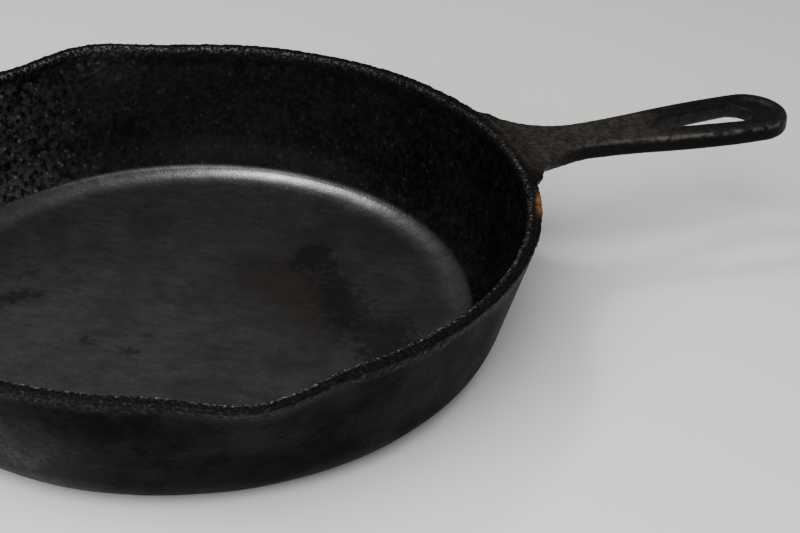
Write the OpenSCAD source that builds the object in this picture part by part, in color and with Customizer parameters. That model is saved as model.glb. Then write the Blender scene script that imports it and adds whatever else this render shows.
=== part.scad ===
// Cast iron skillet: one casting, divided into its named regions.
// The regions meet face to face and never overlap.
// Origin: centre of the base on the resting plane. +X runs along the handle, +Z is up.

/* [Pan] */
// Outer diameter across the rim
pan_d = 266; // [200:1:340]
// Height of the rim above the resting face
pan_h = 55; // [46:1:75]
// Lean of the side wall from the vertical, in degrees
wall_lean = 17; // [8:0.5:21]
// Thickness of the side wall
wall_t = 4.4; // [3:0.1:5]
// Thickness of the floor
floor_t = 4.4; // [3:0.1:7]
// Outer radius of the corner between the base and the wall
corner_r = 20; // [16:0.5:24]
// Inner radius of the cove between the cooking surface and the wall
cove_r = 16; // [12:0.5:20]

/* [Rim] */
// Width of the rim across its top
rim_w = 5.4; // [5:0.1:7]
// Height of the band that forms the rim; a far-reaching spout deepens it
rim_h = 6; // [5:0.5:9]
// Width of the chamfer on the rim's inner edge
rim_chamfer = 1.2; // [0.6:0.1:1.8]

/* [Pour spouts] */
// How far a spout stands out past the rim
spout_reach = 7; // [5:0.5:9]
// Radius of a spout's lip, seen from above
spout_lip_r = 40; // [34:1:46]
// Height of a spout, down from the rim
spout_h = 28; // [22:1:30]
// Angle between the handle and each spout, in degrees
spout_angle = 94; // [88:0.5:95]

/* [Handle] */
// Length of the handle past the rim
handle_l = 119; // [95:1:150]
// Thickness of the handle
handle_t = 7.5; // [5:0.5:9]
// Width of the neck
neck_w = 20; // [15:0.5:24]
// Distance from the rim to the neck
neck_reach = 28; // [20:1:36]
// Radius of the flare that widens the neck into the rim
flare_r = 32; // [24:1:40]
// Width of the strengthening web under the root
web_w = 13; // [8:0.5:15]
// Depth of the web below the handle, where it meets the wall
web_drop = 8; // [4:0.5:14]
// Width of the hanging loop
loop_w = 31; // [26:0.5:37]

/* [Hanging hole and dish] */
// Width of the hanging hole at its round outer end
hole_w = 15; // [10:0.2:16]
// Width of the hanging hole at its narrow inner end
hole_narrow_w = 7.8; // [4:0.2:9]
// Length of the hanging hole
hole_l = 46; // [36:0.5:48]
// Thickness of the iron between the hole and the handle's tip
tip_t = 15; // [9:0.5:17]
// Width of the raised edge on either side of the dish
ridge_w = 3.4; // [2.5:0.1:4]
// Depth of the dish in the handle's upper face
dish_depth = 1.4; // [0.6:0.1:2.5]

/* [Hidden] */
$fn = 180;
skin_colour = "#3b3a38";
surface_colour = "#2b2b2d";
rim_colour = "#4a4846";
handle_colour = "#403e3b";

// A margin by which cutting shapes run past the faces that they cut
past = 1;
pan_r = pan_d / 2;
lean_sin = sin(wall_lean);
lean_cos = cos(wall_lean);
lean_tan = tan(wall_lean);

// Outer corner: its centre, and the point where its arc runs into the wall
corner_tan_z = corner_r * (1 - lean_sin);
corner_tan_r = wall_out_r(corner_tan_z);
corner_c = [corner_tan_r - corner_r * lean_cos, corner_r];

// Inner cove: its centre, and the point where its arc runs into the wall
cove_c = [wall_in_r(floor_t + cove_r) - cove_r / lean_cos, floor_t + cove_r];
cove_tan = cove_c + cove_r * [lean_cos, -lean_sin];

// The regions of the pan are parted at one radius and two heights
floor_region_r = min(corner_c[0], cove_c[0]);
corner_region_h = max(corner_tan_z, cove_tan[1]);

// Pour spouts: each is a leaning shell about its own upright axis, sunk half into the wall at its foot
spout_axis_r = pan_r + spout_reach - spout_lip_r;
spout_foot_r = wall_out_r(pan_h - spout_h) - wall_t / 2 - spout_axis_r;
spout_tan = (spout_lip_r - spout_foot_r) / spout_h;
spout_wall_w = wall_t * sqrt(1 + spout_tan * spout_tan);

// The rim band reaches down past the spouts' hollows where they leave the wall, so it stays one ring
rim_under_spout = 0.5;
spout_cut_h = (spout_reach - spout_wall_w) / (spout_tan - lean_tan);
rim_band_h = max(rim_h, spout_cut_h + rim_under_spout);
rim_z = pan_h - rim_band_h;

// Handle: stations along X from the pan's axis
neck_x = pan_r + neck_reach;
tip_x = pan_r + handle_l;
loop_r = loop_w / 2;
loop_c = tip_x - loop_r;
shoulder_x = loop_c - loop_r * 1.2;
hole_r = hole_w / 2;
hole_narrow_r = hole_narrow_w / 2;
hole_end_x = tip_x - tip_t;
hole_c = hole_end_x - hole_r;
hole_narrow_c = hole_end_x - hole_l + hole_narrow_r;
loop_region_x = hole_narrow_c - hole_narrow_w;
handle_z = pan_h - handle_t;
dish_r = loop_r - ridge_w;
dish_narrow_r = neck_w / 2 - ridge_w;
dish_narrow_c = neck_x + neck_w / 2;
web_run = neck_reach + wall_t;
web_arc_r = (web_run * web_run + web_drop * web_drop) / (2 * web_drop);

// Radius of the pan's outer surface on its straight wall at height z
function wall_out_r(z) = pan_r - (pan_h - z) * lean_tan;

// Radius of the pan's inner surface on its straight wall at height z
function wall_in_r(z) = wall_out_r(z) - wall_t / lean_cos;

// Section of everything inside the pan's outer surface.
// It runs on above the rim, so that it trims cleanly at the rim's top plane.
module outer_section() {
    polygon([
        [0, 0],
        [corner_c[0], 0],
        corner_c,
        [corner_tan_r, corner_tan_z],
        [wall_out_r(pan_h + past), pan_h + past],
        [0, pan_h + past]
    ]);
    translate(corner_c)
        circle(corner_r);
}

// Section of the space inside the pan: flat floor, cove arc and leaning wall
module inner_section() {
    polygon([
        [-past, floor_t],
        [cove_c[0], floor_t],
        cove_c,
        cove_tan,
        [wall_in_r(pan_h + past), pan_h + past],
        [-past, pan_h + past]
    ]);
    translate(cove_c)
        circle(cove_r);
}

// Section of the pan's shell below the rim
module shell_section() {
    difference() {
        outer_section();
        inner_section();
    }
}

// Part of a section between two radii and two heights
module section_window(r0, r1, z0, z1) {
    intersection() {
        children();
        translate([r0, z0])
            square([r1 - r0, z1 - z0]);
    }
}

// Section of the rim band: it thickens inwards, and its inner edge is chamfered
module rim_section() {
    foot_in_r = wall_in_r(rim_z);
    top_in_r = pan_r - rim_w;
    polygon([
        [foot_in_r, rim_z],
        [wall_out_r(rim_z), rim_z],
        [pan_r, pan_h],
        [top_in_r + rim_chamfer, pan_h],
        [top_in_r - rim_chamfer * (top_in_r - foot_in_r) / rim_band_h, pan_h - rim_chamfer]
    ]);
}

// The whole pan inside its outer surface, used to trim what is joined to it
module pan_block() {
    rotate_extrude()
        outer_section();
}

// Places its children at the spout on one side: +1 is left of the handle, -1 is right
module at_spout(side) {
    rotate(side * spout_angle)
        translate([spout_axis_r, 0, 0])
            children();
}

// Section of the spout's leaning shell
module spout_section() {
    foot_z = pan_h - spout_h;
    polygon([
        [spout_foot_r - spout_wall_w, foot_z],
        [spout_foot_r, foot_z],
        [spout_lip_r, pan_h],
        [spout_lip_r - spout_wall_w, pan_h]
    ]);
}

// The hollow of a spout, which also opens the rim and the wall behind it
module spout_hollow(side) {
    foot_z = pan_h - spout_h;
    top_z = pan_h + past;
    at_spout(side)
        rotate_extrude()
            polygon([
                [0, foot_z],
                [spout_foot_r - spout_wall_w, foot_z],
                [spout_lip_r - spout_wall_w + past * spout_tan, top_z],
                [0, top_z]
            ]);
}

// Outline of the flared root, up to the neck
module root_outline() {
    start_x = pan_r - 2 * wall_t;
    half = neck_w / 2 + flare_r / 2;
    difference() {
        translate([start_x, -half])
            square([neck_x - start_x, 2 * half]);
        for (s = [-1, 1])
            translate([neck_x, s * (neck_w / 2 + flare_r)])
                circle(flare_r);
    }
}

// Outline of the handle from the neck to its round tip
module bar_outline() {
    polygon([
        [neck_x, -neck_w / 2],
        [shoulder_x, -loop_r],
        [loop_c, -loop_r],
        [loop_c, loop_r],
        [shoulder_x, loop_r],
        [neck_x, neck_w / 2]
    ]);
    translate([loop_c, 0])
        circle(loop_r);
}

// Tapered slot on the X axis, with a narrow and a wide round end
module tapered_slot(narrow_x, narrow_r, wide_x, wide_r) {
    polygon([
        [narrow_x, -narrow_r],
        [wide_x, -wide_r],
        [wide_x, wide_r],
        [narrow_x, narrow_r]
    ]);
    translate([narrow_x, 0])
        circle(narrow_r);
    translate([wide_x, 0])
        circle(wide_r);
}

// The dished bar of the handle with its hanging hole, before it is parted
module handle_bar() {
    difference() {
        translate([0, 0, handle_z])
            linear_extrude(handle_t)
                bar_outline();
        translate([0, 0, pan_h - dish_depth])
            linear_extrude(dish_depth + past)
                tapered_slot(dish_narrow_c, dish_narrow_r, loop_c, dish_r);
        translate([0, 0, handle_z - past])
            linear_extrude(handle_t + 2 * past)
                tapered_slot(hole_narrow_c, hole_narrow_r, hole_c, hole_r);
    }
}

// Keeps the stretch of its children that lies between two stations along the handle
module stretch(x0, x1) {
    intersection() {
        children();
        translate([x0, -loop_w, 0])
            cube([x1 - x0, 2 * loop_w, pan_h + past]);
    }
}

module cooking_floor() {
    color(surface_colour)
        cylinder(h = floor_t, r = floor_region_r);
}

module base_corner() {
    color(skin_colour)
        rotate_extrude()
            section_window(floor_region_r, pan_r, 0, corner_region_h)
                shell_section();
}

module side_wall() {
    color(skin_colour)
        difference() {
            rotate_extrude()
                section_window(floor_region_r, pan_r, corner_region_h, rim_z)
                    shell_section();
            for (side = [-1, 1])
                spout_hollow(side);
        }
}

module rim() {
    color(rim_colour)
        difference() {
            rotate_extrude()
                rim_section();
            for (side = [-1, 1])
                spout_hollow(side);
        }
}

module pour_spout(side) {
    color(rim_colour)
        difference() {
            at_spout(side)
                rotate_extrude()
                    spout_section();
            pan_block();
        }
}

module pour_spout_left() {
    pour_spout(1);
}

module pour_spout_right() {
    pour_spout(-1);
}

module handle_root() {
    color(handle_colour)
        difference() {
            union() {
                translate([0, 0, handle_z])
                    linear_extrude(handle_t)
                        root_outline();
                root_web();
            }
            pan_block();
        }
}

// The web under the root: its lower edge is an arc that runs out at the neck
module root_web() {
    start_x = pan_r - 3 * wall_t;
    translate([0, web_w / 2, 0])
        rotate([90, 0, 0])
            linear_extrude(web_w)
                difference() {
                    translate([start_x, handle_z - web_arc_r])
                        square([neck_x - start_x, web_arc_r]);
                    translate([neck_x, handle_z - web_arc_r])
                        circle(web_arc_r);
                }
}

module handle_shank() {
    color(handle_colour)
        stretch(neck_x, loop_region_x)
            handle_bar();
}

module hanging_loop() {
    color(handle_colour)
        stretch(loop_region_x, tip_x + past)
            handle_bar();
}

cooking_floor();
base_corner();
side_wall();
rim();
pour_spout_left();
pour_spout_right();
handle_root();
handle_shank();
hanging_loop();
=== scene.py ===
"""A cast iron skillet: the finished skin of its one casting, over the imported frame.

The casting is described by signed distances, in metres and in the frame's own axes. One mesher walks that
description once and parts it into the casting's named regions, so neighbouring pieces share every border
vertex. A Geometry Nodes tree then gives the whole skin its sand-cast grain and the rim its crust.
"""

import logging
import math
from collections.abc import Iterable, Sequence
from dataclasses import dataclass, field
from enum import Enum
from typing import ClassVar

import bpy
import numpy as np
from mathutils import Matrix, Vector


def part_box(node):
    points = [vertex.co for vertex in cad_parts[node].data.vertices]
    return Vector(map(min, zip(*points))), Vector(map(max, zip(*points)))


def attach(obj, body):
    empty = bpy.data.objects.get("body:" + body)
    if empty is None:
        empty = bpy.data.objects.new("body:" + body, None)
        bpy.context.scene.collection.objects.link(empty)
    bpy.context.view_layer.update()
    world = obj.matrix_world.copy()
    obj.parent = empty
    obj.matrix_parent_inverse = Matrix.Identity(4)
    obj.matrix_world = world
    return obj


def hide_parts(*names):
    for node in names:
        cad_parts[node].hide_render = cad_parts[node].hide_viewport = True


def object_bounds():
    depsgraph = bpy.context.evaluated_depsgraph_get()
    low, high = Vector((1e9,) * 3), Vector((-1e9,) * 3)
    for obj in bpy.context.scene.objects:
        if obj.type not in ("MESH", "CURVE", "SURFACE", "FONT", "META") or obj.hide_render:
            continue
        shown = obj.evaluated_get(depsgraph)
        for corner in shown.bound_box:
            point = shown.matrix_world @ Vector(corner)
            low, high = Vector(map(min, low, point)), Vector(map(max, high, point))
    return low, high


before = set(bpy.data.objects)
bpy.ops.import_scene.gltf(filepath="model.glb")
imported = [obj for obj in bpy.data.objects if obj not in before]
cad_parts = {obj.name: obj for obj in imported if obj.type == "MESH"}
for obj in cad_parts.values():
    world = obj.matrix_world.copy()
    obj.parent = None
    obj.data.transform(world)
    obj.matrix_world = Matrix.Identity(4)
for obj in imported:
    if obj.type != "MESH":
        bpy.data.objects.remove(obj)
CAD_BOX = [list(corner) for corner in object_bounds()]
LOG = logging.getLogger("skillet")
MM = 0.001
BODY = "root"


# ---------------------------------------------------------------------------------------------------------
# Distance rules
# ---------------------------------------------------------------------------------------------------------


def ease(value: np.ndarray, start: float, end: float) -> np.ndarray:
    """Smooth step from 0 at start to 1 at end.

    Args:
        value: Values to judge.
        start: Where the step begins.
        end: Where the step is complete; it may lie below start.

    Returns:
        Values from 0 to 1.
    """
    t = np.clip((value - start) / (end - start), 0.0, 1.0)
    return t * t * (3.0 - 2.0 * t)


def fillet_union(a: np.ndarray, b: np.ndarray, width: float) -> np.ndarray:
    """Distance to two joined solids with a fillet where they meet.

    Args:
        a: Distance to the first solid.
        b: Distance to the second solid.
        width: Width of the fillet.

    Returns:
        Distance to the joined solid.
    """
    near = np.maximum(width - np.abs(a - b), 0.0) / width
    return np.minimum(a, b) - near * near * width / 4.0


def round_meet(a: np.ndarray, b: np.ndarray, radius: float | np.ndarray) -> np.ndarray:
    """Distance to the part that two solids share, with the edge between them rounded.

    Args:
        a: Distance to the first solid.
        b: Distance to the second solid.
        radius: Radius of the rounded edge.

    Returns:
        Distance to the shared solid.
    """
    past = np.hypot(np.maximum(a + radius, 0.0), np.maximum(b + radius, 0.0))
    return np.minimum(np.maximum(a, b), -radius) + past


@dataclass(frozen=True)
class PanForm:
    """The bowl of the skillet: a turned shell with a flat base, a round corner and a leaning wall."""

    rim_radius: float
    height: float
    floor: float
    rim_band: float
    corner_top: float
    floor_radius: float
    lean: float = math.radians(17.0)
    wall: float = 4.4 * MM
    corner: float = 20.0 * MM
    cove: float = 22.0 * MM
    rim_width: float = 5.4 * MM

    def cup(
        self, r: np.ndarray, z: np.ndarray, top_radius: float | np.ndarray, bottom: float, corner: float
    ) -> np.ndarray:
        """Distance to an upward running cup: flat bottom, round corner and leaning wall.

        Args:
            r: Distance of each point from the pan's axis.
            z: Height of each point.
            top_radius: Radius of the cup at the pan's full height.
            bottom: Height of the flat bottom.
            corner: Radius of the round corner.

        Returns:
            Signed distances, below zero inside the cup.
        """
        sin, cos, tan = math.sin(self.lean), math.cos(self.lean), math.tan(self.lean)
        wall = (r - top_radius + (self.height - z) * tan) * cos
        base = bottom - z
        dz = z - (bottom + corner)
        dr = r - (top_radius - (self.height - bottom - corner) * tan - corner / cos)
        in_corner = (dr > 0) & (dr * sin + dz * cos < 0)
        return np.where(in_corner, np.hypot(dr, dz) - corner, np.maximum(wall, base))

    def outside(self, r: np.ndarray, z: np.ndarray) -> np.ndarray:
        """Distance to everything inside the pan's outer surface.

        Args:
            r: Distance of each point from the pan's axis.
            z: Height of each point.

        Returns:
            Signed distances, below zero inside.
        """
        return self.cup(r, z, self.rim_radius, 0.0, self.corner)

    def hollow(self, r: np.ndarray, z: np.ndarray) -> np.ndarray:
        """Distance to the space inside the pan, which the rim's bead narrows a little.

        Args:
            r: Distance of each point from the pan's axis.
            z: Height of each point.

        Returns:
            Signed distances, below zero in the hollow.
        """
        wall = self.wall / math.cos(self.lean)
        bead_start = self.height - 1.4 * self.rim_band
        bead = (self.rim_width - wall) * ease(z, bead_start, self.height - 1.5 * MM)
        return self.cup(r, z, self.rim_radius - wall - bead, self.floor, self.cove)


@dataclass(frozen=True)
class SpoutForm:
    """The two pour spouts, which push the wall and the rim outwards."""

    height: float
    reach: float
    depth: float = 28.0 * MM
    turn: float = math.radians(94.0)
    swell: float = 1.0 * MM
    curl: float = 1.25
    half_width: float = 36.0 * MM
    region_half: float = 27.0 * MM

    def across(self, x: np.ndarray, y: np.ndarray, side: int) -> tuple[np.ndarray, np.ndarray]:
        """Distance across a spout and distance out along it.

        Args:
            x: Places along the handle's line.
            y: Places across it.
            side: +1 for the left spout, -1 for the right one.

        Returns:
            The sideways and the outward distances.
        """
        cos, sin = math.cos(self.turn), side * math.sin(self.turn)
        return y * cos - x * sin, x * cos + y * sin

    def push(self, x: np.ndarray, y: np.ndarray, z: np.ndarray) -> np.ndarray:
        """How far the spouts push the wall out.

        Args:
            x: Places along the handle's line.
            y: Places across it.
            z: Height of each point.

        Returns:
            The outward push at each point.
        """
        rise = np.clip((z - self.height + self.depth) / self.depth, 0.0, 1.1) ** self.curl
        total = np.zeros_like(x)
        for side in (1, -1):
            sideways, outward = self.across(x, y, side)
            bulge = np.cos(np.clip(sideways / self.half_width, -1.0, 1.0) * math.pi / 2) ** 2
            total = total + np.where(outward > 0, bulge, 0.0)
        return self.reach * rise * total


@dataclass(frozen=True)
class HandleForm:
    """The flat tapered handle with its flared root, dished face and hanging hole."""

    top: float
    thickness: float
    neck_x: float
    tip_x: float
    loop_half: float
    neck_half: float = 10.0 * MM
    flare: float = 32.0 * MM
    dish_depth: float = 1.4 * MM
    ridge: float = 3.0 * MM
    droop: float = 0.35 * MM
    root_half: float = 27.5 * MM
    web_half: float = 6.5 * MM
    web_drop: float = 8.0 * MM
    web_run: float = 32.0 * MM
    root_thin: float = 4.4 * MM
    edge: float = 2.2 * MM
    hole_edge: float = 0.8 * MM
    hole_wide: float = 7.5 * MM
    hole_narrow: float = 3.9 * MM
    hole_length: float = 46.0 * MM
    tip_iron: float = 15.0 * MM

    @property
    def loop_centre(self) -> float:
        """Centre of the round end.

        Returns:
            Its place along the handle.
        """
        return self.tip_x - self.loop_half

    @property
    def hole_end(self) -> float:
        """Outer, wide end of the hanging hole.

        Returns:
            Its place along the handle.
        """
        return self.tip_x - self.tip_iron

    @property
    def hole_start(self) -> float:
        """Inner, narrow end of the hanging hole.

        Returns:
            Its place along the handle.
        """
        return self.hole_end - self.hole_length

    def outline(self, x: np.ndarray, y: np.ndarray) -> np.ndarray:
        """Distance to the handle's outline, seen from above.

        Args:
            x: Places along the handle.
            y: Places across it.

        Returns:
            Signed distances, below zero inside the outline.
        """
        grow = ease(x, self.neck_x - 1.0 * MM, self.loop_centre - 8.0 * MM)
        side = np.abs(y) - (self.neck_half + (self.loop_half - self.neck_half) * grow)
        back = np.minimum(x - self.neck_x, 0.0)
        flared = self.flare - np.hypot(back, np.minimum(np.abs(y) - self.neck_half - self.flare, 0.0))
        flared = np.maximum(flared, np.abs(y) - self.root_half)
        rounded = np.hypot(x - self.loop_centre, y) - self.loop_half
        bar = np.where(x < self.neck_x, flared, side)
        return np.where(x > self.loop_centre, rounded, bar)

    def sag(self, x: np.ndarray) -> np.ndarray:
        """How far the handle hangs below the rim's plane.

        Args:
            x: Places along the handle.

        Returns:
            The drop at each place.
        """
        return self.droop * ease(x, self.neck_x, self.loop_centre)

    def face(self, x: np.ndarray, outline: np.ndarray) -> np.ndarray:
        """Height of the handle's upper face, with its dish inside a raised edge.

        Args:
            x: Places along the handle.
            outline: Distance to the outline at each place.

        Returns:
            Heights above the base plane.
        """
        start = self.neck_x + 6.0 * MM
        dish = ease(-outline, self.ridge, self.ridge + 3.2 * MM) * ease(x, start, start + 16.0 * MM)
        beside = ease(x, self.hole_start - 6.0 * MM, self.hole_start + 4.0 * MM)
        beside = beside - ease(x, self.hole_end - 7.0 * MM, self.hole_end)
        return self.top - self.sag(x) - self.dish_depth * dish * (1.0 - 0.75 * beside)

    def under(self, x: np.ndarray, y: np.ndarray) -> np.ndarray:
        """Height of the handle's underside, with the web that deepens towards the wall.

        Args:
            x: Places along the handle.
            y: Places across it.

        Returns:
            Heights above the base plane.
        """
        aside = np.abs(y)
        back = np.clip((self.neck_x - x) / self.web_run, 0.0, 1.2)
        web = self.web_drop * back * back * (1.0 - ease(aside, 0.4 * self.web_half, 1.5 * self.web_half))
        thin = self.root_thin * ease(back, 0.0, 0.5) * ease(aside, self.neck_half, 2.2 * self.neck_half)
        return self.top - self.thickness - self.sag(x) - web + thin

    def hole(self, x: np.ndarray, y: np.ndarray) -> np.ndarray:
        """Distance to the tapered hanging hole, seen from above.

        Args:
            x: Places along the handle.
            y: Places across it.

        Returns:
            Signed distances, below zero in the hole.
        """
        wide_x = self.hole_end - self.hole_wide
        narrow_x = self.hole_start + self.hole_narrow
        along = np.clip((x - narrow_x) / (wide_x - narrow_x), 0.0, 1.0)
        radius = self.hole_narrow + (self.hole_wide - self.hole_narrow) * along
        return np.hypot(x - narrow_x - along * (wide_x - narrow_x), y) - radius


class Region(Enum):
    """The named regions of the casting, each with the CAD node it stands for and its finish slot."""

    FLOOR = (1, "cooking_floor", "cooking_surface", False)
    CORNER = (2, "base_corner", "pan_skin", False)
    WALL = (3, "side_wall", "pan_skin", False)
    RIM = (4, "rim", "rim_skin", True)
    LEFT_SPOUT = (5, "pour_spout_left", "rim_skin", True)
    RIGHT_SPOUT = (6, "pour_spout_right", "rim_skin", True)
    ROOT = (7, "handle_root", "handle_skin", True)
    SHANK = (8, "handle_shank", "handle_skin", True)
    LOOP = (9, "hanging_loop", "handle_skin", True)

    def __init__(self, code: int, node: str, slot: str, fine: bool) -> None:
        """Names the parts of each member.

        Args:
            code: The region's number in the mesher.
            node: The CAD node that it stands for.
            slot: Its finish slot.
            fine: Whether it is meshed finely.
        """
        self.code = code
        self.node = node
        self.slot = slot
        self.fine = fine


@dataclass(frozen=True)
class Casting:
    """The whole casting: pan, spouts and handle as one solid with filleted joints."""

    pan: PanForm
    spouts: SpoutForm
    handle: HandleForm
    loop_x: float
    joint_fillet: float = 6.0 * MM
    rim_edge: float = 1.5 * MM

    @classmethod
    def from_frame(cls) -> "Casting":
        """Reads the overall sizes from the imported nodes.

        Returns:
            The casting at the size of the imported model.
        """
        floor_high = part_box("cooking_floor")[1]
        corner_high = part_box("base_corner")[1]
        rim_low, rim_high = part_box("rim")
        spout_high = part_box("pour_spout_left")[1]
        shank_low, shank_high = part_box("handle_shank")
        loop_low, loop_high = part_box("hanging_loop")
        rim_radius = round(-rim_low[0], 4)
        pan = PanForm(
            rim_radius=rim_radius,
            height=rim_high[2],
            floor=floor_high[2],
            rim_band=rim_high[2] - rim_low[2],
            corner_top=corner_high[2],
            floor_radius=floor_high[0],
        )
        spouts = SpoutForm(
            height=rim_high[2],
            reach=spout_high[1] / math.sin(SpoutForm.turn) - rim_radius + SpoutForm.swell,
        )
        handle = HandleForm(
            top=rim_high[2],
            thickness=shank_high[2] - shank_low[2],
            neck_x=shank_low[0],
            tip_x=loop_high[0],
            loop_half=loop_high[1],
        )
        return cls(pan=pan, spouts=spouts, handle=handle, loop_x=loop_low[0])

    def distance(self, p: np.ndarray) -> np.ndarray:
        """Signed distance from each point to the casting's surface.

        Args:
            p: Points, with x, y and z in the last axis.

        Returns:
            One distance per point, below zero inside the iron.
        """
        x, y, z = p[..., 0], p[..., 1], p[..., 2]
        r = np.hypot(x, y) - self.spouts.push(x, y, z)
        outside = self.pan.outside(r, z)
        outline = self.handle.outline(x, y)
        bar = round_meet(outline, self.handle.under(x, y) - z, self.handle.edge)
        bar = np.maximum(bar, -outside - 3.0 * MM)
        bar = np.where(x > 0, bar, 1.0)
        body = fillet_union(outside, bar, self.joint_fillet)
        past_rim = ease(outside, 1.0 * MM, 10.0 * MM)
        face = self.pan.height + (self.handle.face(x, outline) - self.pan.height) * past_rim
        edge = self.rim_edge + (self.handle.edge - self.rim_edge) * past_rim
        body = round_meet(body, z - face, edge)
        body = np.maximum(body, round_meet(-self.pan.hollow(r, z), z - face, self.rim_edge))
        low = self.handle.top - self.handle.thickness
        edge = self.handle.hole_edge + 1.5 * MM * ease(z, low + 4.0 * MM, low + 2.4 * MM)
        return round_meet(body, -self.handle.hole(x, y), edge)

    def regions(self, p: np.ndarray) -> np.ndarray:
        """Which named region each point belongs to.

        Args:
            p: Points, with x, y and z in the last axis.

        Returns:
            Region codes.
        """
        x, y, z = p[..., 0], p[..., 1], p[..., 2]
        r = np.hypot(x, y)
        code = np.full(x.shape, Region.WALL.code, np.int8)
        code[z > self.pan.height - self.pan.rim_band] = Region.RIM.code
        code[z < self.pan.corner_top] = Region.CORNER.code
        code[(r < self.pan.floor_radius) & (z < 2 * self.pan.floor)] = Region.FLOOR.code
        for side, spout in ((1, Region.LEFT_SPOUT), (-1, Region.RIGHT_SPOUT)):
            sideways, outward = self.spouts.across(x, y, side)
            here = (np.abs(sideways) < self.spouts.region_half) & (outward > 0)
            code[here & (z > self.pan.height - self.spouts.depth)] = spout.code
        beyond = (self.pan.outside(r, z) > 0) & (x > 0) & (np.abs(y) < 1.6 * self.handle.flare)
        code[beyond] = Region.ROOT.code
        code[beyond & (x > self.handle.neck_x)] = Region.SHANK.code
        code[beyond & (x > self.loop_x)] = Region.LOOP.code
        return code


# ---------------------------------------------------------------------------------------------------------
# Meshing
# ---------------------------------------------------------------------------------------------------------


@dataclass
class PieceFaces:
    """The quads of one region: the skin that shows, and the hidden caps against its neighbours."""

    skin: np.ndarray
    caps: np.ndarray

    @property
    def quads(self) -> np.ndarray:
        """All quads of the region.

        Returns:
            The skin's quads, then the caps' quads.
        """
        return np.concatenate([self.skin, self.caps])


@dataclass
class SkinMesh:
    """The casting's vertices, shared by all regions, and each region's own quads."""

    points: np.ndarray
    on_skin: np.ndarray
    pieces: dict[Region, PieceFaces]
    seam_points: np.ndarray = field(default_factory=lambda: np.zeros(0, np.int64))
    seam_ends: np.ndarray = field(default_factory=lambda: np.zeros((0, 2), np.int64))


def quad_sides(quads: np.ndarray) -> np.ndarray:
    """The sides of each quad.

    Args:
        quads: Four vertex indices per face.

    Returns:
        The two ends of every side, the lower index first.
    """
    return np.sort(np.stack([quads, np.roll(quads, -1, axis=1)], axis=-1).reshape(-1, 2), axis=1)


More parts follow.
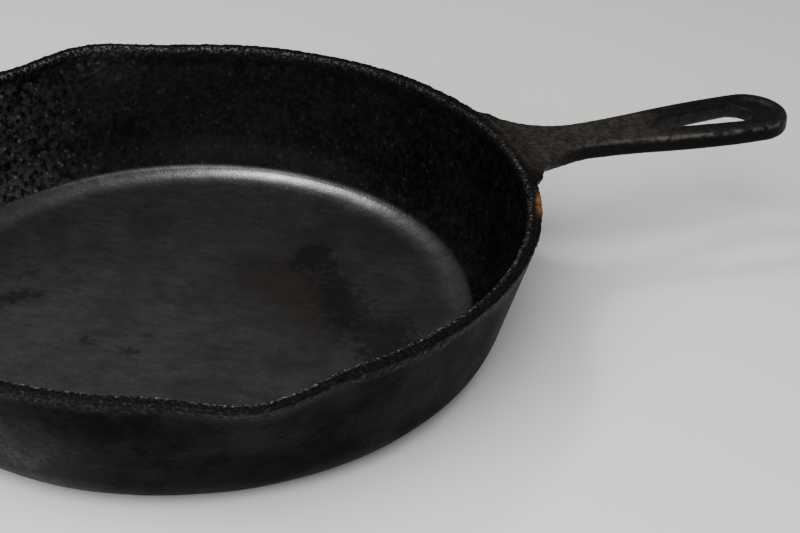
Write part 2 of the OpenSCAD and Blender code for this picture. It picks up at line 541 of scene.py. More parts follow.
@dataclass
class CastingMesher:
    """Turns the casting's distances into quads on an even grid, parted into regions.

    The grid starts an uneven number of cells outside the box, so that its planes miss the flat faces.
    """

    casting: Casting
    cell: float = 0.93 * MM
    low_margin: float = 2.43
    high_margin: float = 2.5
    slab: int = 64
    probe: float = 0.05 * MM
    least_slope: float = 0.3
    cap_weight: float = 1e-6

    def axes(self) -> list[np.ndarray]:
        """Grid planes along each axis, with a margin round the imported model's box.

        Returns:
            The planes along X, Y and Z.
        """
        low, high = np.array(CAD_BOX[0]), np.array(CAD_BOX[1])
        start = low - self.low_margin * self.cell
        counts = np.ceil((high + self.high_margin * self.cell - start) / self.cell).astype(int) + 1
        return [start[a] + self.cell * np.arange(counts[a]) for a in range(3)]

    def sample(self, axes: Sequence[np.ndarray]) -> tuple[np.ndarray, np.ndarray]:
        """Distances and region codes at every grid corner, slab by slab.

        Args:
            axes: Grid planes along each axis.

        Returns:
            The distances, and the codes with 0 outside the iron.
        """
        shape = tuple(len(a) for a in axes)
        distances = np.empty(shape, np.float32)
        codes = np.zeros(shape, np.int8)
        for start in range(0, shape[0], self.slab):
            part = slice(start, start + self.slab)
            grid = np.stack(np.meshgrid(axes[0][part], axes[1], axes[2], indexing="ij"), axis=-1)
            near = self.casting.distance(grid)
            distances[part] = near
            codes[part] = np.where(near < 0, self.casting.regions(grid), 0)
        return distances, codes

    def build(self) -> SkinMesh:
        """Makes the parted mesh.

        Returns:
            The mesh, with its skin vertices lying on the casting's surface.
        """
        axes = self.axes()
        distances, codes = self.sample(axes)
        cells = np.array(codes.shape) - 1
        corners: list[np.ndarray] = []
        crossings: list[np.ndarray] = []
        skins: list[np.ndarray] = []
        inside_codes: list[np.ndarray] = []
        outside_codes: list[np.ndarray] = []
        for axis in range(3):
            first = [slice(None)] * 3
            second = [slice(None)] * 3
            first[axis], second[axis] = slice(0, -1), slice(1, None)
            a, b = codes[tuple(first)], codes[tuple(second)]
            where = np.argwhere(a != b)
            u, v = (axis + 1) % 3, (axis + 2) % 3
            inner = (where[:, u] > 0) & (where[:, u] < cells[u])
            inner = inner & (where[:, v] > 0) & (where[:, v] < cells[v])
            where = where[inner]
            at = tuple(where.T)
            step = np.zeros(3, int)
            step[axis] = 1
            further = tuple((where + step).T)
            da, db = distances[at].astype(float), distances[further].astype(float)
            ca, cb = codes[at], codes[further]
            skin = (ca == 0) | (cb == 0)
            share = np.where(skin, da / np.where(skin, da - db, 1.0), 0.5)
            point = np.stack([axes[k][where[:, k]] for k in range(3)], axis=1)
            point[:, axis] += share * self.cell
            quad = np.repeat(where[:, None, :], 4, axis=1)
            quad[:, [0, 3], u] -= 1
            quad[:, [0, 1], v] -= 1
            index = (quad[..., 0] * cells[1] + quad[..., 1]) * cells[2] + quad[..., 2]
            corners.append(index)
            crossings.append(point)
            skins.append(skin)
            inside_codes.append(ca)
            outside_codes.append(cb)
        quads = np.concatenate(corners)
        point = np.concatenate(crossings)
        skin = np.concatenate(skins)
        ca, cb = np.concatenate(inside_codes), np.concatenate(outside_codes)
        used, quads = np.unique(quads, return_inverse=True)
        quads = quads.reshape(-1, 4)
        points, on_skin = self.gather(quads, point, skin, len(used))
        pieces: dict[Region, PieceFaces] = {}
        for region in Region:
            own_first = ca == region.code
            own_second = cb == region.code
            facing = np.where(own_first[:, None], quads, quads[:, ::-1])
            mine = own_first | own_second
            pieces[region] = PieceFaces(skin=facing[mine & skin], caps=facing[mine & ~skin])
        mesh = SkinMesh(points=points, on_skin=on_skin, pieces=pieces)
        mesh.points[on_skin] = self.settle(mesh.points[on_skin])
        return mesh

    def gather(
        self, quads: np.ndarray, crossing: np.ndarray, skin: np.ndarray, count: int
    ) -> tuple[np.ndarray, np.ndarray]:
        """Puts each cell's vertex at the mean of the crossings on its edges.

        Args:
            quads: Cell indices of each crossed edge.
            crossing: Where each edge is crossed.
            skin: Which edges cross the outer surface.
            count: Number of cells in use.

        Returns:
            The vertices, and which of them lie on the outer surface.
        """
        flat = quads.ravel()
        weight = np.repeat(np.where(skin, 1.0, self.cap_weight), 4)
        total = np.bincount(flat, weight, count)
        sums = [np.bincount(flat, weight * np.repeat(crossing[:, k], 4), count) for k in range(3)]
        points = np.stack([part / total for part in sums], axis=1)
        return points, np.bincount(flat, np.repeat(skin, 4), count) > 0

    def settle(self, points: np.ndarray, rounds: int = 3) -> np.ndarray:
        """Moves points onto the casting's surface along the steepest way.

        Args:
            points: Points close to the surface.
            rounds: How often to step.

        Returns:
            The moved points.
        """
        for _ in range(rounds):
            slope = np.empty_like(points)
            for k in range(3):
                step = np.zeros(3)
                step[k] = self.probe
                rise = self.casting.distance(points + step) - self.casting.distance(points - step)
                slope[:, k] = rise / (2 * self.probe)
            steep = np.maximum((slope * slope).sum(axis=1), self.least_slope)
            move = np.clip(self.casting.distance(points) / steep, -0.5 * self.cell, 0.5 * self.cell)
            points = points - slope * move[:, None]
        return points

    def refine(self, mesh: SkinMesh) -> SkinMesh:
        """Splits the quads of the finely meshed regions into four.

        Args:
            mesh: The evenly meshed casting.

        Returns:
            The same casting with smaller quads where its surface is roughest.
        """
        fine = [r for r in Region if r.fine]
        coarse = [r for r in Region if not r.fine]
        stacks = [mesh.pieces[r].quads for r in fine]
        quads = np.concatenate(stacks)
        count = len(mesh.points)
        ends = quad_sides(quads)
        keys, edge_of = np.unique(ends[:, 0] * count + ends[:, 1], return_inverse=True)
        edge_ends = np.stack([keys // count, keys % count], axis=1)
        middle = mesh.points[edge_ends].mean(axis=1)
        centre = mesh.points[quads].mean(axis=1)
        edge_index = count + edge_of.reshape(-1, 4)
        centre_index = count + len(keys) + np.arange(len(quads))
        before = np.roll(edge_index, 1, axis=1)
        centres = np.broadcast_to(centre_index[:, None], quads.shape)
        split = np.stack([quads, edge_index, centres, before], axis=-1)
        other_ends = quad_sides(np.concatenate([mesh.pieces[r].quads for r in coarse]))
        seam = np.isin(keys, other_ends[:, 0] * count + other_ends[:, 1])
        points = np.concatenate([mesh.points, middle, centre])
        counts = [[len(mesh.pieces[r].skin), len(mesh.pieces[r].caps)] for r in fine]
        skin_quad = np.concatenate([np.repeat([True, False], pair) for pair in counts])
        skin_edge = np.bincount(edge_of, np.repeat(skin_quad, 4), len(keys)) > 0
        free = np.concatenate([np.zeros(count, bool), skin_edge & ~seam, skin_quad])
        points[free] = self.settle(points[free])
        seam_index = np.flatnonzero(seam & skin_edge)
        pieces = dict(mesh.pieces)
        place = 0
        for region, (skin_count, cap_count) in zip(fine, counts):
            own = split[place : place + skin_count + cap_count].reshape(-1, 4)
            pieces[region] = PieceFaces(skin=own[: 4 * skin_count], caps=own[4 * skin_count :])
            place += skin_count + cap_count
        return SkinMesh(
            points=points,
            on_skin=np.concatenate([mesh.on_skin, skin_edge, skin_quad]),
            pieces=pieces,
            seam_points=count + seam_index,
            seam_ends=edge_ends[seam_index],
        )


def quad_mesh(name: str, points: np.ndarray, quads: np.ndarray) -> bpy.types.Mesh:
    """Makes a mesh of quads.

    Args:
        name: The mesh's name.
        points: Vertex positions.
        quads: Four vertex indices per face.

    Returns:
        The new mesh, shaded smooth.
    """
    mesh = bpy.data.meshes.new(name)
    mesh.vertices.add(len(points))
    mesh.vertices.foreach_set("co", points.astype(np.float32).ravel())
    mesh.loops.add(quads.size)
    mesh.loops.foreach_set("vertex_index", quads.astype(np.int32).ravel())
    mesh.polygons.add(len(quads))
    mesh.polygons.foreach_set("loop_start", np.arange(0, quads.size, 4, dtype=np.int32))
    mesh.polygons.foreach_set("use_smooth", np.ones(len(quads), bool))
    mesh.update(calc_edges=True)
    return mesh


def set_attribute(mesh: bpy.types.Mesh, name: str, values: np.ndarray) -> None:
    """Stores one number per vertex.

    Args:
        mesh: The mesh to write to.
        name: The attribute's name.
        values: One value per vertex.
    """
    attribute = mesh.attributes.new(name, "FLOAT", "POINT")
    attribute.data.foreach_set("value", values.astype(np.float32))


def read_points(mesh: bpy.types.Mesh) -> np.ndarray:
    """Reads the vertex positions of a mesh.

    Args:
        mesh: The mesh to read.

    Returns:
        One position per vertex.
    """
    flat = np.empty(3 * len(mesh.vertices), np.float32)
    mesh.vertices.foreach_get("co", flat)
    return flat.reshape(-1, 3).astype(float)


def read_normals(mesh: bpy.types.Mesh) -> np.ndarray:
    """Reads the vertex normals of a mesh.

    Args:
        mesh: The mesh to read.

    Returns:
        One unit vector per vertex.
    """
    flat = np.empty(3 * len(mesh.vertices), np.float32)
    mesh.vertex_normals.foreach_get("vector", flat)
    return flat.reshape(-1, 3).astype(float)


# ---------------------------------------------------------------------------------------------------------
# Wear: where the surface is crusted, worn, stained or rusted, and where glints, sheen, light and shade are
# painted on
# ---------------------------------------------------------------------------------------------------------


@dataclass(frozen=True)
class Mark:
    """A soft-edged mark on the casting: an ellipse turned about Z, laid over the surface."""

    x: float
    y: float
    long: float
    short: float
    turn: float = 0.0
    strength: float = 1.0

    def cover(self, x: np.ndarray, y: np.ndarray) -> np.ndarray:
        """How strongly the mark covers each point, seen from above.

        Args:
            x: Places along the handle's line.
            y: Places across it.

        Returns:
            Values from 0 to the mark's strength.
        """
        cos, sin = math.cos(math.radians(self.turn)), math.sin(math.radians(self.turn))
        along = (x - self.x) * cos + (y - self.y) * sin
        aside = (y - self.y) * cos - (x - self.x) * sin
        return self.strength * np.exp(-((along / self.long) ** 2) - (aside / self.short) ** 2)


@dataclass(frozen=True)
class Places:
    """Where each vertex lies: its position, and its distances from the casting's outlines."""

    x: np.ndarray
    y: np.ndarray
    z: np.ndarray
    turn: np.ndarray
    outside: np.ndarray
    inside: np.ndarray
    off_pan: np.ndarray
    along: np.ndarray
    outline: np.ndarray


@dataclass(frozen=True)
class Wear:
    """Where the casting is rough, polished, stained and rusted, and where glints, sheen, light and shade
    are painted into its colour.
    """

    NAMES: ClassVar[tuple[str, ...]] = (
        "inside",
        "floor",
        "crust",
        "edge",
        "handle",
        "face",
        "root",
        "crest",
        "rust",
        "soot",
        "scorch",
        "spatter_and_light",
        "painted_sheen",
    )
    casting: Casting
    rust_turn: float = math.radians(-21.0)
    rust_width: float = 7.0 * MM
    # Direction and spread of the painted sheen on the outer wall.
    sheen_turn: float = math.radians(-131.0)
    sheen_spread: float = math.radians(13.0)
    splash_turn: float = math.radians(93.0)
    splash_spread: float = math.radians(11.0)
    soot: tuple[Mark, ...] = (
        Mark(57.0 * MM, -12.0 * MM, 34.0 * MM, 11.0 * MM, 84.0, 0.9),
        Mark(55.0 * MM, 22.0 * MM, 12.0 * MM, 8.0 * MM, 40.0, 0.8),
        Mark(66.0 * MM, -48.0 * MM, 26.0 * MM, 12.0 * MM, 65.0, 0.8),
        Mark(28.0 * MM, 24.0 * MM, 9.0 * MM, 5.0 * MM, -20.0, 0.5),
        Mark(-62.0 * MM, 27.0 * MM, 15.0 * MM, 7.0 * MM, 5.0, 0.8),
        Mark(-78.0 * MM, 6.0 * MM, 8.0 * MM, 6.0 * MM, 20.0, 0.7),
        Mark(-42.0 * MM, -11.0 * MM, 8.0 * MM, 4.0 * MM, -15.0, 0.65),
        Mark(-29.0 * MM, -22.0 * MM, 9.0 * MM, 4.0 * MM, -20.0, 0.65),
        Mark(-18.0 * MM, -14.0 * MM, 5.0 * MM, 2.5 * MM, -10.0, 0.55),
        Mark(-48.0 * MM, 42.0 * MM, 26.0 * MM, 7.0 * MM, -15.0, 0.42),
        Mark(-20.0 * MM, 76.0 * MM, 42.0 * MM, 9.0 * MM, -12.0, 0.35),
    )
    scorch: tuple[Mark, ...] = (
        Mark(38.0 * MM, 10.0 * MM, 25.0 * MM, 20.0 * MM, 0.0, 0.95),
        Mark(44.0 * MM, -22.0 * MM, 24.0 * MM, 16.0 * MM, 80.0, 0.8),
    )

    def maps(self, p: np.ndarray) -> dict[str, np.ndarray]:
        """The wear maps at each vertex.

        Args:
            p: Vertex positions.

        Returns:
            Values from 0 to 1 by map name.
        """
        at = self.places(p)
        return {**self.pan_maps(at), **self.rim_maps(at), **self.handle_maps(at)}

    def places(self, p: np.ndarray) -> Places:
        """Where each vertex lies on the casting.

        Args:
            p: Vertex positions.

        Returns:
            The places that the maps are worked out from.
        """
        x, y, z = p[:, 0], p[:, 1], p[:, 2]
        pan, handle = self.casting.pan, self.casting.handle
        outside = pan.outside(np.hypot(x, y) - self.casting.spouts.push(x, y, z), z)
        return Places(
            x=x,
            y=y,
            z=z,
            turn=np.arctan2(y, x),
            outside=outside,
            inside=ease(-outside, 0.35 * pan.wall, 0.8 * pan.wall),
            off_pan=ease(outside, 0.5 * MM, 6.0 * MM) * (x > 0),
            along=(x - pan.rim_radius) / (handle.tip_x - pan.rim_radius),
            outline=handle.outline(x, y),
        )

    def pan_maps(self, at: Places) -> dict[str, np.ndarray]:
        """Wear of the floor and the walls, with painted sheen low on the outer wall and painted light on
        the left inner wall.

        Args:
            at: Where each vertex lies.

        Returns:
            Values from 0 to 1 by map name.
        """
        pan = self.casting.pan
        floor = at.inside * ease(at.z, pan.floor + 4.0 * MM, pan.floor + 2.5 * MM)
        soot = sum(mark.cover(at.x, at.y) for mark in self.soot)
        scorch = sum(mark.cover(at.x, at.y) for mark in self.scorch)
        # Painted sheen: the lower outer wall at the front left is lightened as if it mirrored the pale
        # floor.
        painted_sheen = self.around(at, self.sheen_turn, self.sheen_spread) * (1.0 - at.inside)
        splash = 0.22 * self.around(at, self.splash_turn, self.splash_spread)
        splash = splash * ease(at.z, 34.0 * MM, 48.0 * MM)
        # Painted light: this share rises towards the left wall, away from the handle, to lighten it; real
        # spatter rides on it, and the splash at the back is real.
        lit_side = 0.07 + 0.93 * ease(at.x, 0.0, -100.0 * MM)
        return {
            "inside": at.inside,
            "floor": floor,
            "foot": ease(at.z, 2.0 * MM, 0.2 * MM),
            "soot": floor * np.clip(soot, 0.0, 1.0),
            "scorch": floor * np.clip(scorch, 0.0, 1.0),
            "painted_sheen": painted_sheen * ease(at.z, 46.0 * MM, 20.0 * MM),
            "spatter_and_light": at.inside * (1.0 - floor) * np.maximum(lit_side, splash),
        }

    def rim_maps(self, at: Places) -> dict[str, np.ndarray]:
        """Wear of the rim: its crust, the painted glints along its edges and the rust.

        Args:
            at: Where each vertex lies.

        Returns:
            Values from 0 to 1 by map name.
        """
        pan = self.casting.pan
        band = ease(at.z, pan.height - 6.5 * MM, pan.height - 1.4 * MM)
        crust = (1.0 - at.off_pan) * band + at.off_pan * 0.55 * (1.0 - ease(at.along, 0.1, 0.5))
        # Painted highlight: the "edge" map lays a thin line of glints along the rim's inner top edge,
        # strongest on the near side and away from the handle, and a fainter line along the far outer edge.
        lit = ease(at.z, pan.height - 2.6 * MM, pan.height - 0.8 * MM) * (1.0 - at.off_pan)
        near = ease(at.y, 20.0 * MM, -60.0 * MM)
        inner_glint = np.exp(-(((-at.outside - 4.5 * MM) / (0.6 * MM)) ** 2))
        inner_glint = inner_glint * (0.4 + 0.6 * near) * (1.0 - 0.6 * ease(at.x, 30.0 * MM, 110.0 * MM))
        outer_glint = np.exp(-(((-at.outside - 0.7 * MM) / (0.45 * MM)) ** 2))
        outer_glint = outer_glint * ease(at.y, -30.0 * MM, 60.0 * MM)
        rust = self.around(at, self.rust_turn, self.rust_width / pan.rim_radius)
        rust = rust * ease(at.z, pan.height - 8.0 * MM, pan.height - 3.0 * MM)
        return {
            "crust": crust,
            "edge": lit * np.clip(inner_glint + 0.35 * outer_glint, 0.0, 1.0),
            "rust": rust * ease(-at.outside, 3.4 * MM, 1.2 * MM),
        }

    def handle_maps(self, at: Places) -> dict[str, np.ndarray]:
        """Wear of the handle: its grainy root, its face, the painted shade in its dish and the painted
        highlight along its ridge.

        Args:
            at: Where each vertex lies.

        Returns:
            Values from 0 to 1 by map name.
        """
        pan, handle = self.casting.pan, self.casting.handle
        top = ease(at.z, pan.height - 2.6 * MM, pan.height - 1.0 * MM)
        shoulder = ease(at.x, pan.rim_radius - 7.0 * MM, pan.rim_radius - 1.0 * MM)
        shoulder = shoulder * ease(at.along, 0.3, 0.1)
        shoulder = shoulder * ease(np.abs(at.y), 36.0 * MM, 22.0 * MM) * top
        face = at.off_pan * ease(handle.face(at.x, at.outline) - at.z, 1.9 * MM, 0.7 * MM)
        slot = at.off_pan * ease(handle.hole(at.x, at.y), 1.5 * MM, 0.8 * MM)
        # Painted shade: the dished face round the hanging hole is darkened towards the handle's darker side
        # colour.
        dish_shade = ease(at.along, 0.45, 0.6) * ease(-at.outline, 2.0 * MM, 4.0 * MM)
        # Painted highlight: a light line along the rounded top edge of the handle's rails.
        crest = np.exp(-(((-at.outline - 0.5 * MM) / (0.5 * MM)) ** 2))
        crest = crest * at.off_pan * ease(at.along, 0.28, 0.42)
        return {
            "handle": at.off_pan,
            "face": np.maximum(np.maximum(face * (1.0 - 0.5 * dish_shade), 0.5 * slot), 0.8 * shoulder),
            "root": np.maximum(at.off_pan * (1.0 - ease(at.along, 0.3, 0.72)), shoulder),
            "crest": crest * ease(at.z, handle.top - 3.0 * MM, handle.top - 1.5 * MM),
        }

    @staticmethod
    def around(at: Places, turn: float, spread: float) -> np.ndarray:
        """A mark that fades away round the pan.

        Args:
            at: Where each vertex lies.
            turn: Direction of the mark's middle.
            spread: Angle over which it fades.

        Returns:
            Values from 0 to 1.
        """
        return np.exp(-(((at.turn - turn) / spread) ** 2))


# ---------------------------------------------------------------------------------------------------------
# Node trees
# ---------------------------------------------------------------------------------------------------------

Source = bpy.types.NodeSocket | float


@dataclass
class TreeWriter:
    """Adds nodes to a shader or geometry tree and links them in reading order."""

    tree: bpy.types.NodeTree

    def add(self, kind: str, **settings: object) -> bpy.types.Node:
        """Adds a node.

        Args:
            kind: The node's type name.
            **settings: Properties to set on it.

        Returns:
            The new node.
        """
        node = self.tree.nodes.new(kind)
        for name, value in settings.items():
            setattr(node, name, value)
        return node

    def feed(self, socket: bpy.types.NodeSocket, source: object) -> None:
        """Links a socket to a source, or sets its value.

        Args:
            socket: The socket to feed.
            source: Another node's socket, or a plain value.
        """
        if isinstance(source, bpy.types.NodeSocket):
            self.tree.links.new(source, socket)
        else:
            socket.default_value = source

    def math(self, operation: str, a: Source, b: Source = 0.0, clamp: bool = False) -> bpy.types.NodeSocket:
        """Adds a Math node.

        Args:
            operation: The operation's name.
            a: First value.
            b: Second value.
            clamp: Whether the result is held between 0 and 1.

        Returns:
            The result's socket.
        """
        node = self.add("ShaderNodeMath", operation=operation, use_clamp=clamp)
        self.feed(node.inputs[0], a)
        self.feed(node.inputs[1], b)
        return node.outputs[0]

    def times(self, a: Source, b: Source) -> bpy.types.NodeSocket:
        """Multiplies two numbers.

        Args:
            a: First value.
            b: Second value.

        Returns:
            The product's socket.
        """
        return self.math("MULTIPLY", a, b)

    def mix(self, share: Source, a: Source, b: Source) -> bpy.types.NodeSocket:
        """Mixes two numbers.

        Args:
            share: 0 gives a, 1 gives b.
            a: First value.
            b: Second value.

        Returns:
            The mixed value's socket.
        """
        node = self.add("ShaderNodeMix", data_type="FLOAT")
        self.feed(node.inputs[0], share)
        self.feed(node.inputs[2], a)
        self.feed(node.inputs[3], b)
        return node.outputs[0]

    def blend(self, share: Source, a: object, b: object, mode: str = "MIX") -> bpy.types.NodeSocket:
        """Mixes two colours.

        Args:
            share: 0 gives a, 1 gives the blend with b.
            a: First colour or socket.
            b: Second colour or socket.
            mode: The blend mode.

        Returns:
            The mixed colour's socket.
        """
        node = self.add("ShaderNodeMix", data_type="RGBA", blend_type=mode)
        self.feed(node.inputs[0], share)
        self.feed(node.inputs[6], a)
        self.feed(node.inputs[7], b)
        return node.outputs[2]

    def ramp(self, value: Source, low: float, high: float, smooth: bool = True) -> bpy.types.NodeSocket:
        """Spreads a range of values over 0 to 1.

        Args:
            value: The value to spread.
            low: The value that becomes 0.
            high: The value that becomes 1.
            smooth: Whether the step eases in and out.

        Returns:
            The spread value's socket.
        """
        kind = "SMOOTHSTEP" if smooth else "LINEAR"
        node = self.add("ShaderNodeMapRange", interpolation_type=kind)
        self.feed(node.inputs[0], value)
        node.inputs[1].default_value = low
        node.inputs[2].default_value = high
        return node.outputs[0]

    def noise(
        self,
        place: bpy.types.NodeSocket,
        size: float,
        detail: float = 3.0,
        rough: float = 0.55,
        seed: float = 0.0,
        distort: float = 0.0,
    ) -> bpy.types.NodeSocket:
        """Adds noise with features of a stated size.

        Args:
            place: Position that the noise reads.
            size: Size of a feature in metres.
            detail: Number of finer layers.
            rough: Strength of the finer layers.
            seed: Seed of this layer.
            distort: How far the noise warps itself.

        Returns:
            The noise's socket, about 0.5 on average.
        """
        node = self.add("ShaderNodeTexNoise", noise_dimensions="4D")
        self.feed(node.inputs["Vector"], place)
        node.inputs["W"].default_value = seed
        node.inputs["Scale"].default_value = 1.0 / size
        node.inputs["Detail"].default_value = detail
        node.inputs["Roughness"].default_value = rough
        node.inputs["Distortion"].default_value = distort
        return node.outputs[0]


@dataclass
class CastSkin:
    """The sand-cast grain and the rim's crust, pushed into the skin by Geometry Nodes."""

    grain: float = 0.10 * MM
    crust: float = 0.55 * MM
    wave: float = 0.35 * MM
    grain_size: float = 1.7 * MM
    crust_size: float = 2.4 * MM
    wave_size: float = 42.0 * MM
    foot_share: float = 0.06
    seed: float = 4.0

    def tree(self) -> bpy.types.GeometryNodeTree:
        """Builds the displacement tree with its sizes as named inputs.

        Returns:
            The finished node group.
        """
        tree = bpy.data.node_groups.new("cast_skin", "GeometryNodeTree")
        face = tree.interface
        face.new_socket("Geometry", in_out="INPUT", socket_type="NodeSocketGeometry")
        names = ("Grain", "Crust", "Wave", "Grain Size", "Crust Size", "Wave Size", "Seed")
        for name in names:
            face.new_socket(name, in_out="INPUT", socket_type="NodeSocketFloat")
        face.new_socket("Metal", in_out="INPUT", socket_type="NodeSocketMaterial")
        face.new_socket("Geometry", in_out="OUTPUT", socket_type="NodeSocketGeometry")
        write = TreeWriter(tree)
        given = write.add("NodeGroupInput")
        place = write.add("GeometryNodeInputPosition").outputs[0]
        normal = write.add("GeometryNodeInputNormal").outputs[0]
        crusty = self.named(write, "crust")
        inside = self.named(write, "inside")
        floor = self.named(write, "floor")
        handle = self.named(write, "handle")
        grain = self.layer(write, place, given.outputs["Grain Size"], given.outputs["Seed"], 1.5)
        lumps = self.layer(write, place, given.outputs["Crust Size"], given.outputs["Seed"], 3.0)
        patches = self.layer(write, place, given.outputs["Wave Size"], given.outputs["Seed"], 1.0)
        wall_share = write.mix(floor, 1.0, 0.12)
        wall_share = write.mix(write.ramp(handle, 0.0, 1.0), wall_share, 0.55)
        grain_push = write.times(write.times(grain, given.outputs["Grain"]), wall_share)
        ragged = write.times(lumps, given.outputs["Crust"])
        ragged = write.times(ragged, crusty)
        calm = write.mix(inside, 1.0, 0.5)
        wave_push = write.times(write.times(patches, given.outputs["Wave"]), calm)
        push = write.math("ADD", write.math("ADD", grain_push, ragged), wave_push)
        push = write.times(push, write.mix(self.named(write, "foot"), 1.0, self.foot_share))
        offset = write.add("ShaderNodeVectorMath", operation="SCALE")
        write.feed(offset.inputs[0], normal)
        write.feed(offset.inputs["Scale"], push)
        shift = write.add("GeometryNodeSetPosition")
        write.feed(shift.inputs["Geometry"], given.outputs["Geometry"])
        write.feed(shift.inputs["Offset"], offset.outputs[0])
        real = write.add("GeometryNodeRealizeInstances")
        write.feed(real.inputs[0], shift.outputs[0])
        dress = write.add("GeometryNodeSetMaterial")
        write.feed(dress.inputs["Geometry"], real.outputs[0])
        write.feed(dress.inputs["Material"], given.outputs["Metal"])
        write.feed(write.add("NodeGroupOutput").inputs[0], dress.outputs[0])
        return tree

    @staticmethod
    def named(write: TreeWriter, name: str) -> bpy.types.NodeSocket:
        """Reads one of the wear maps from the mesh.

        Args:
            write: The tree's writer.
            name: The map's name.

        Returns:
            The map's socket.
        """
        node = write.add("GeometryNodeInputNamedAttribute", data_type="FLOAT")
        node.inputs["Name"].default_value = name
        return node.outputs["Attribute"]

    @staticmethod
    def layer(
        write: TreeWriter,
        place: bpy.types.NodeSocket,
        size: bpy.types.NodeSocket,
        seed: bpy.types.NodeSocket,
        detail: float,
    ) -> bpy.types.NodeSocket:
        """Noise about zero, from -1 to 1, with features of the given size.

        Args:
            write: The tree's writer.
            place: Position that the noise reads.
            size: Size of a feature.
            seed: Seed of the noise.
            detail: Number of finer layers.

        Returns:
            The noise's socket.
        """
        node = write.add("ShaderNodeTexNoise", noise_dimensions="4D")
        write.feed(node.inputs["Vector"], place)
        write.feed(node.inputs["W"], seed)
        write.feed(node.inputs["Scale"], write.math("DIVIDE", 1.0, size))
        node.inputs["Detail"].default_value = detail
        node.inputs["Roughness"].default_value = 0.6
        return write.times(write.math("SUBTRACT", node.outputs[0], 0.5), 3.0)

    def apply(self, skin: bpy.types.Mesh, metal: bpy.types.Material) -> bpy.types.Mesh:
        """Runs the tree on the whole skin.

        Args:
            skin: The skin of the casting, with its wear maps.
            metal: The material that the tree sets.

        Returns:
            The displaced skin as a plain mesh with the same vertex order.
        """
        carrier = bpy.data.objects.new("skin_carrier", skin)
        bpy.context.scene.collection.objects.link(carrier)
        modifier = carrier.modifiers.new("cast_skin", "NODES")
        modifier.node_group = self.tree()
        values = {
            "Grain": self.grain,
            "Crust": self.crust,
            "Wave": self.wave,
            "Grain Size": self.grain_size,
            "Crust Size": self.crust_size,
            "Wave Size": self.wave_size,
            "Seed": self.seed,
            "Metal": metal,
        }
        for item in modifier.node_group.interface.items_tree:
            if item.item_type == "SOCKET" and item.in_out == "INPUT" and item.name in values:
                modifier[item.identifier] = values[item.name]
        evaluated = carrier.evaluated_get(bpy.context.evaluated_depsgraph_get())
        result = bpy.data.meshes.new_from_object(evaluated)
        carrier.modifiers.clear()
        bpy.data.objects.remove(carrier)
        return result


# ---------------------------------------------------------------------------------------------------------
# Finishes
# ---------------------------------------------------------------------------------------------------------

Colour = tuple[float, float, float, float]


@dataclass(frozen=True)
class Layers:
    """The noise layers that one finish is built from."""

    grain: bpy.types.NodeSocket
    coarse: bpy.types.NodeSocket
    cloud: bpy.types.NodeSocket
    wide: bpy.types.NodeSocket
    wiped: bpy.types.NodeSocket
    fleck: bpy.types.NodeSocket
    mottle: bpy.types.NodeSocket
    dots: bpy.types.NodeSocket


